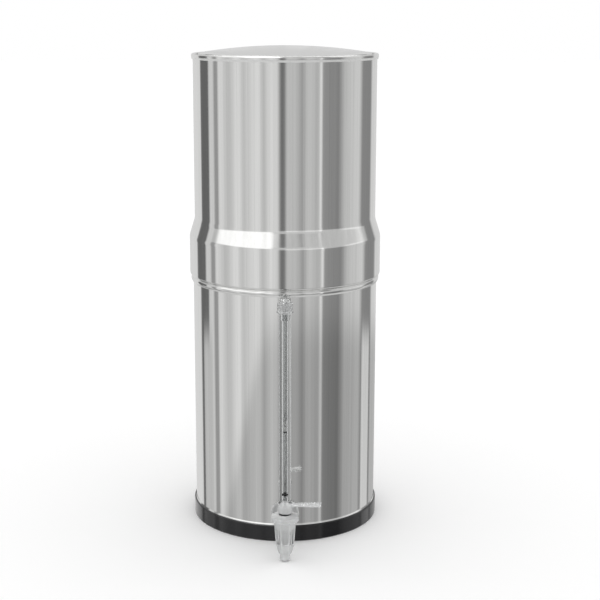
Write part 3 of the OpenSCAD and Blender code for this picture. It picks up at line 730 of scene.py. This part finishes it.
def lever_stations():
    """Along the arm, in metres: distance from the valve's axis, foot and top of the section, half width."""
    root, tip, steps = 5.3, 48, 64
    # The section's half height at the root, and what it gains by the tip
    thin, gain = 2.2, 1.1
    ribs_from, rib, rib_h, rib_sink, rib_blunt = 16.5, 4.2, 1.05, 0.35, 0.7
    # Under the root the foot runs down in a hollow of this radius
    hollow_to, hollow_r = 14.8, 6
    half_w, root_share, tip_from, tip_r, least = 4.5, 0.8, 46, 2.2, 0.12
    stations = []
    for i in range(steps + 1):
        x = root + (tip - root) * i / steps
        top = thin + gain * (x - root) / (tip - root)
        foot = -top
        if x > ribs_from:
            top += rib_h * abs(math.sin(math.pi * (x - ribs_from) / rib)) ** rib_blunt - rib_sink
        hollow = hollow_to - x
        if hollow > 0:
            foot -= hollow_r - math.sqrt(max(0, hollow_r ** 2 - min(hollow_r, hollow) ** 2))
        half = half_w * (root_share + (1 - root_share) * x / tip)
        if x > tip_from:
            half *= math.sqrt(max(least, 1 - ((x - tip_from) / tip_r) ** 2))
        stations.append((x * MM, foot * MM, top * MM, half * MM))
    return stations


def make_lever_arm(cap_z):
    """A rounded section drawn out along +X, with a hollow under its root and ribs across its top."""
    middle = cap_z + 10.32 * MM
    stations = lever_stations()
    start_fresh()
    x, foot, top, half = stations[0]
    bpy.ops.mesh.primitive_circle_add(
        vertices=ARM_STEPS, radius=1, fill_type="NGON", rotation=(0, math.radians(90), 0))
    arm = bpy.context.object
    arm.name = "lever_arm"
    arm.scale = (0.5 * (top - foot), half, 1)
    arm.location = (x, VALVE_Y, middle + 0.5 * (top + foot))
    settle()
    edit(arm)
    bpy.ops.mesh.select_all(action="SELECT")
    for (xa, fa, ta, ha), (xb, fb, tb, hb) in zip(stations, stations[1:]):
        extrude((xb - xa, 0, 0.5 * (tb + fb - ta - fa)))
        centre = (xb, VALVE_Y, middle + 0.5 * (tb + fb))
        bpy.ops.transform.resize(value=(1, hb / ha, (tb - fb) / (ta - fa)), center_override=centre)
    close_up()
    return arm


# Sight tube
def make_sight_tube():
    bore, plug_bore = 2.8 * MM, 4.05 * MM
    plug_z = TUBE_TOP - 20.05 * MM
    foot_bend, mouth_bend = 0.3 * MM, 0.4 * MM
    outline = rounded([
        (bore, TUBE_FOOT, 0),
        (TUBE_R, TUBE_FOOT, foot_bend),
        (TUBE_R, TUBE_TOP, mouth_bend),
        (plug_bore, TUBE_TOP, 0),
        (plug_bore, plug_z, 0),
        (bore, plug_z, 0),
    ])
    tube = turned("sight_tube_clear", closed(outline), TUBE, SMALL_STEPS)
    return dressed(smooth(tube, angle=30), CLEAR_TUBE, "lower_stand", "clear_tube", "sight_tube")


def make_tube_cap():
    """Plug, collar with a bead at its foot, and dome, with a vent down the middle."""
    low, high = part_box("tube_cap")
    gap = 0.1 * MM
    foot, seat_z = high.z - 20 * MM, TUBE_TOP + gap
    socket_r, plug_r, plug_bend, vent_r = 8.1 * MM, 4 * MM, 0.5 * MM, 0.8 * MM
    # Over the foot: where the bead is at full width, where it ends, and the collar's top
    collar_r, collar_bend, collar_h, collar_top_bend = 10.4 * MM, 0.4 * MM, 15 * MM, 1.1 * MM
    bead_r, bead_bend, bead_low, bead_high, bead_end = 11.2 * MM, 0.6 * MM, 1.2 * MM, 2.8 * MM, 4 * MM
    # The dome's foot, side and crown
    dome_r, dome_h, dome_foot_bend = 7.6 * MM, 15.4 * MM, 0.6 * MM
    side_r, side_h, crown_r, dome_bend = 6.2 * MM, 17.6 * MM, 3 * MM, 2 * MM
    outline = rounded([
        (socket_r, foot, 0),
        (collar_r, foot, collar_bend),
        (bead_r, foot + bead_low, bead_bend),
        (bead_r, foot + bead_high, bead_bend),
        (collar_r, foot + bead_end, collar_bend),
        (collar_r, foot + collar_h, collar_top_bend),
        (dome_r, foot + dome_h, dome_foot_bend),
        (side_r, foot + side_h, dome_bend),
        (crown_r, high.z - gap, dome_bend),
        (vent_r, high.z, 0),
        (vent_r, low.z, 0),
        (plug_r, low.z, plug_bend),
        (plug_r, seat_z, 0),
        (socket_r, seat_z, 0),
    ])
    cap = turned("tube_cap_clear", closed(outline), TUBE, 2 * COLLAR_RIBS)
    ribs_low, ribs_high = 4.2 * MM, 14.2 * MM
    rib_collar(cap, collar_r - gap, foot + ribs_low, foot + ribs_high)
    return dressed(smooth(cap, angle=30), CLEAR_CAP, "tube_top", "clear_plastic", "tube_cap")


def rib_collar(cap, radius, low, high):
    """Draws every other upright line of the collar's side in a little."""
    groove = 0.97
    edit(cap)
    mesh = bmesh.from_edit_mesh(cap.data)
    for vertex in mesh.verts:
        x, y, z = vertex.co.x, vertex.co.y - TUBE_Y, vertex.co.z
        number = round(math.atan2(y, x) / math.pi * COLLAR_RIBS)
        vertex.select_set(math.hypot(x, y) > radius and low < z < high and number % 2 == 1)
    mesh.select_flush_mode()
    bpy.ops.transform.resize(value=(groove, groove, 1), center_override=(0, TUBE_Y, 0))
    bpy.ops.object.mode_set(mode="OBJECT")


def make_tube_seat():
    """The funnel pressed into the bore; its wet rim touches the glass, which shows it at full size."""
    low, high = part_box("tube_seat")
    way_r, foot_r, rim_r, mouth_r = 0.8 * MM, 1.2 * MM, 2.84 * MM, 1.9 * MM
    rim_h, floor_h = 3.0 * MM, 1.6 * MM
    outline = [
        (way_r, low.z), (foot_r, low.z), (rim_r, high.z - rim_h), (rim_r, high.z), (mouth_r, high.z),
        (way_r, low.z + floor_h)]
    seat = turned("tube_seat_black", closed(outline), TUBE, SMALL_STEPS)
    return dressed(smooth(seat, angle=30), BLACK_SEAL, "lower_stand", "black_seal", "tube_seat")


make_base_ring()
make_lower_wall()
make_upper_chamber()
make_lid()
make_tap_body()
make_lever()
make_sight_tube()
make_tube_cap()
make_tube_seat()

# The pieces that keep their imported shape
FINISHES = {
    "lower_floor": INNER_STEEL, "filter_pan": INNER_STEEL,
    "tap_outer_washer": PALE_SILICONE, "tap_inner_washer": PALE_SILICONE, "candle_washers": PALE_SILICONE,
    "tap_nut": WHITE_PLASTIC, "candle_nuts": WHITE_PLASTIC, "level_float": WHITE_PLASTIC,
    "valve_plug": CLEAR_PLASTIC, "valve_o_rings": BLACK_SEAL, "float_band": BLACK_SEAL,
}
for number in range(1, 5):
    FINISHES[f"candle_base_{number}"] = WHITE_PLASTIC
    FINISHES[f"candle_shell_{number}"] = CERAMIC
    FINISHES[f"candle_core_{number}"] = CARBON
for node, finish in FINISHES.items():
    slots = frame["nodes"][node].data.materials
    slots.clear()
    slots.append(finish)


# Studio. Its room is seen in the object's reflections only. Angles are in degrees: round the object
# they count to the right from the camera's side, and heights are over the horizon.
# Round the object: brightness of the walls of the room
ROOM = [
    (-180, 0.70), (-132, 0.78), (-129, 0.15), (-111, 0.15), (-109, 0.70), (-101, 0.70), (-98, 0.34),
    (-93, 0.34), (-90, 0.82), (-74, 0.58), (-60, 0.85), (-53, 0.62), (-34, 0.84), (-26, 0.58), (-17, 0.82),
    (-9, 0.74), (-5, 0.17), (-1, 0.20), (3, 0.62), (14, 0.56), (21, 0.38), (28, 0.64), (42, 0.50),
    (45, 0.95), (48, 0.32), (70, 0.26), (80, 0.60), (106, 0.70), (113, 0.28), (134, 0.26), (140, 0.72),
    (180, 0.70),
]
# Fine streaks on those walls: number round the room, and how much they lighten and darken it
STREAKS, STREAK_LOW, STREAK_HIGH = 34.0, 0.74, 1.26
# Low down, from the first height to the second, the two dark side flags are narrower: these levels
# take the angles between near and far, counted from a line a little to the right of the front
NARROW_FROM, NARROW_TO, NARROW_LEFT, NARROW_RIGHT = -13, -14.5, 0.58, 1.0
NARROW_NEAR, NARROW_FAR, NARROW_ASIDE = 108.5, 128.5, 4.5
NARROW_NEAR_SOFT, NARROW_FAR_SOFT, SIDE_SOFT = 1.5, 1, 10
# Above the object the walls' streaks give way to this level by this share, from the low angle up
# to the high one, which rises from the front to the back, between these cosines of the way round
PALE_LOW, PALE_FRONT, PALE_BACK, PALE_SOFT = 12, 23, 80, 2
BACK_COSINE, FRONT_COSINE = -0.2, 0.7
PALE_LEVEL, PALE_SHARE = 0.68, 0.75
# The walls' dark foot: the height of its top edge at the left and from the front on, and its share
FOOT_LEFT_AT, FOOT_FRONT_AT = -95, -12
FOOT_LEFT, FOOT_FRONT, FOOT_SOFT, FOOT_SHARE = -22, -13.5, 1.2, 0.70
# The white floor, as the steel sees it: from the first height down to the second it comes in, up to
# this share over the streaks
FLOOR_FROM, FLOOR_TO, FLOOR_LEVEL, FLOOR_SHARE = -32, -40, 0.80, 0.65
# Softboxes: middle and half width round the object, lower and upper edge, softness, brightness
SOFTBOXES = [
    (-54, 38, 13, 36, 4, 0.55),
    (-70, 62, 62, 76, 5, 5.0),
    (180, 42, 38, 54, 6, 2.4),
    (55, 62, 5, 12, 3, 0.30),
]
# Light on the floor and on matt surfaces: at the level of the floor and from overhead
SKY_LEVEL, SKY_OVERHEAD = 0.8, 1.16
# The share of that light that the steel gives back to them
GIVEN_BACK = 0.65
WHITE = 1.0


def step(tree, value, start, end):
    """0 to 1 as the value goes from start to end, with soft ends."""
    node = tree.nodes.new("ShaderNodeMapRange")
    node.interpolation_type = "SMOOTHSTEP"
    tree.links.new(value, node.inputs["Value"])
    node.inputs["From Min"].default_value = min(start, end)
    node.inputs["From Max"].default_value = max(start, end)
    node.inputs["To Min"].default_value = 0.0 if start < end else 1.0
    node.inputs["To Max"].default_value = 1.0 if start < end else 0.0
    return node.outputs["Result"]


def turn_step(tree, value, start, end):
    """The same for an angle, with start and end in degrees."""
    return step(tree, value, math.radians(start), math.radians(end))


def past(tree, value, edge, soft):
    """0 to 1 across the edge, in degrees, softly over its two sides."""
    return turn_step(tree, value, edge - soft, edge + soft)


def before(tree, value, edge, soft):
    """1 to 0 across the edge."""
    return turn_step(tree, value, edge + soft, edge - soft)


def wall_levels(tree, angle):
    """The room's brightness round the object."""
    ramp = tree.nodes.new("ShaderNodeValToRGB")
    stops = ramp.color_ramp.elements
    stops[0].color = (ROOM[0][1],) * 3 + (1,)
    stops[-1].color = (ROOM[-1][1],) * 3 + (1,)
    for at, level in ROOM[1:-1]:
        stops.new((at + 180) / 360).color = (level, level, level, 1)
    share = math_node(tree, "ADD", math_node(tree, "DIVIDE", angle, 2 * math.pi), 0.5)
    tree.links.new(share, ramp.inputs[0])
    return ramp.outputs["Color"]


def fine_streaks(tree, angle):
    streak = tree.nodes.new("ShaderNodeTexNoise")
    streak.noise_dimensions = "1D"
    streak.inputs["Scale"].default_value = STREAKS
    streak.inputs["Detail"].default_value = 5.0
    streak.inputs["Roughness"].default_value = 0.65
    tree.links.new(angle, streak.inputs["W"])
    return between(tree, streak.outputs["Fac"], STREAK_LOW, STREAK_HIGH)


def room_walls(tree, angle, up):
    """The room's walls with their streaks, dark foot and white floor."""
    # The side flags, narrower low down
    aside = math_node(tree, "SUBTRACT", angle, math.radians(NARROW_ASIDE))
    aside = math_node(tree, "ABSOLUTE", aside)
    narrow = product(
        tree, turn_step(tree, up, NARROW_FROM, NARROW_TO),
        past(tree, aside, NARROW_NEAR, NARROW_NEAR_SOFT), before(tree, aside, NARROW_FAR, NARROW_FAR_SOFT))
    side_level = between(tree, past(tree, angle, 0, SIDE_SOFT), NARROW_LEFT, NARROW_RIGHT)
    levels = between(tree, narrow, wall_levels(tree, angle), side_level)
    streaked = product(tree, levels, fine_streaks(tree, angle))
    # The pale part above
    to_front = step(tree, math_node(tree, "COSINE", angle), BACK_COSINE, FRONT_COSINE)
    ceiling = between(tree, to_front, math.radians(PALE_BACK), math.radians(PALE_FRONT))
    under = before(tree, math_node(tree, "SUBTRACT", up, ceiling), 0, PALE_SOFT)
    pale = product(tree, past(tree, up, PALE_LOW, PALE_SOFT), under, PALE_SHARE)
    walls = between(tree, pale, streaked, PALE_LEVEL)
    # The dark foot
    foot_top = between(tree, turn_step(tree, angle, FOOT_LEFT_AT, FOOT_FRONT_AT),
                       math.radians(FOOT_LEFT), math.radians(FOOT_FRONT))
    over_foot = past(tree, math_node(tree, "SUBTRACT", up, foot_top), 0, FOOT_SOFT)
    walls = product(tree, walls, between(tree, over_foot, FOOT_SHARE, 1.0))
    on_floor = product(tree, turn_step(tree, up, FLOOR_FROM, FLOOR_TO), FLOOR_SHARE)
    return between(tree, on_floor, walls, FLOOR_LEVEL)


def softbox(tree, angle, up, at, half, low, high, soft, level):
    aside = math_node(tree, "COSINE", math_node(tree, "SUBTRACT", angle, math.radians(at)))
    across = step(tree, aside, math.cos(math.radians(half + soft)), math.cos(math.radians(half - soft)))
    return product(tree, across, level, past(tree, up, low, soft), before(tree, up, high, soft))


def make_world():
    world = bpy.data.worlds.new("studio")
    bpy.context.scene.world = world
    world.use_nodes = True
    tree = world.node_tree
    tree.nodes.clear()
    out = tree.nodes.new("ShaderNodeOutputWorld")
    split = tree.nodes.new("ShaderNodeSeparateXYZ")
    tree.links.new(tree.nodes.new("ShaderNodeTexCoord").outputs["Generated"], split.inputs[0])
    x, y, z = split.outputs
    angle = math_node(tree, "ARCTAN2", x, math_node(tree, "MULTIPLY", y, -1.0))
    up = math_node(tree, "ARCSINE", z)
    light = room_walls(tree, angle, up)
    for box in SOFTBOXES:
        light = math_node(tree, "ADD", light, softbox(tree, angle, up, *box))
    room = tree.nodes.new("ShaderNodeBackground")
    tree.links.new(light, room.inputs["Color"])
    path = tree.nodes.new("ShaderNodeLightPath")
    sky = tree.nodes.new("ShaderNodeBackground")
    tree.links.new(between(tree, z, SKY_LEVEL, SKY_OVERHEAD), sky.inputs["Color"])
    tree.links.new(between(tree, path.outputs["Is Glossy Ray"], 1.0, GIVEN_BACK), sky.inputs["Strength"])
    plain = tree.nodes.new("ShaderNodeBackground")
    plain.inputs["Color"].default_value = (WHITE, WHITE, WHITE, 1)
    # The room shows in the object's own reflections only; what the object throws on the floor is left out
    direct = math_node(tree, "LESS_THAN", path.outputs["Diffuse Depth"], 0.5)
    reflected = math_node(tree, "MULTIPLY", path.outputs["Is Glossy Ray"], direct)
    matt = math_node(tree, "SUBTRACT", 1.0, direct)
    shown = plain
    for factor, ground in ((matt, sky), (reflected, room)):
        mix = tree.nodes.new("ShaderNodeMixShader")
        tree.links.new(factor, mix.inputs[0])
        tree.links.new(shown.outputs[0], mix.inputs[1])
        tree.links.new(ground.outputs[0], mix.inputs[2])
        shown = mix
    tree.links.new(shown.outputs[0], out.inputs["Surface"])


def make_floor():
    start_fresh()
    bpy.ops.mesh.primitive_plane_add(size=30, location=(0, 0, 0))
    floor = bpy.context.object
    floor.name = "floor"
    material = bpy.data.materials.new("white_floor")
    material.use_nodes = True
    shader = material.node_tree.nodes["Principled BSDF"]
    shader.inputs["Base Color"].default_value = (1, 1, 1, 1)
    shader.inputs["Roughness"].default_value = 1.0
    shader.inputs["Specular IOR Level"].default_value = 0.0
    floor.data.materials.append(material)
    floor.visible_glossy = False


def make_camera():
    """The photograph's viewpoint; its level view with a raised frame becomes a camera pitched down."""
    distance, height, pitch = 1.904, 0.732, 12.4
    data = bpy.data.cameras.new("camera")
    data.lens = 81.8
    data.sensor_width = 36
    data.shift_x = 0.025
    camera = bpy.data.objects.new("camera", data)
    camera.location = (0, -distance, height)
    camera.rotation_euler = (math.radians(90 - pitch), 0, 0)
    bpy.context.scene.collection.objects.link(camera)
    bpy.context.scene.camera = camera


make_world()
make_floor()
make_camera()
bpy.context.scene.view_settings.view_transform = "Standard"
